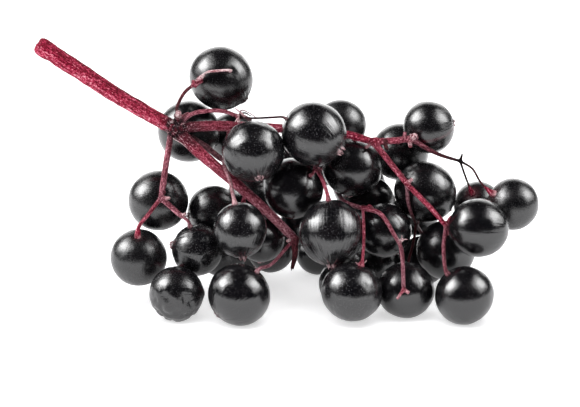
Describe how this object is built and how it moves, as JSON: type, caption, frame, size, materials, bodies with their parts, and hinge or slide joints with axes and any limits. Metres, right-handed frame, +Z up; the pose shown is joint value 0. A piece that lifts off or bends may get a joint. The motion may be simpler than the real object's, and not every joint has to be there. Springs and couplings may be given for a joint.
{
  "type": "elderberry cluster",
  "caption": "Cut sprig of ripe black elderberries on crimson branching stalks, lying on its lowest berries as a fruit prop.",
  "frame": {"origin": "on the surface that the cluster lies on, under the middle of its box", "axes": "+X along the sprig, away from the cut end of the stalk; +Z up; the fullest side faces -Y"},
  "size_m": [0.0559, 0.0292, 0.0292],
  "materials": {
    "stalk_skin": "satin",
    "berry_skin": "gloss"
  },
  "bodies": {
    "root": {"stalk": "stalk_skin", "berry_01": "berry_skin", "berry_02": "berry_skin", "berry_03": "berry_skin", "berry_04": "berry_skin", "berry_05": "berry_skin", "berry_06": "berry_skin", "berry_07": "berry_skin", "berry_08": "berry_skin", "berry_09": "berry_skin", "berry_10": "berry_skin", "berry_11": "berry_skin", "berry_12": "berry_skin", "berry_13": "berry_skin", "berry_14": "berry_skin", "berry_15": "berry_skin", "berry_16": "berry_skin", "berry_17": "berry_skin", "berry_18": "berry_skin", "berry_19": "berry_skin", "berry_20": "berry_skin", "berry_21": "berry_skin", "berry_22": "berry_skin", "berry_23": "berry_skin", "berry_24": "berry_skin", "berry_25": "berry_skin", "berry_26": "berry_skin", "berry_27": "berry_skin", "berry_28": "berry_skin", "berry_29": "berry_skin", "berry_30": "berry_skin", "berry_31": "berry_skin", "berry_32": "berry_skin", "berry_33": "berry_skin", "berry_34": "berry_skin", "berry_35": "berry_skin", "berry_36": "berry_skin", "berry_37": "berry_skin", "berry_38": "berry_skin", "berry_39": "berry_skin", "berry_40": "berry_skin", "berry_41": "berry_skin", "berry_42": "berry_skin", "berry_43": "berry_skin"}
  },
  "joints": []
}
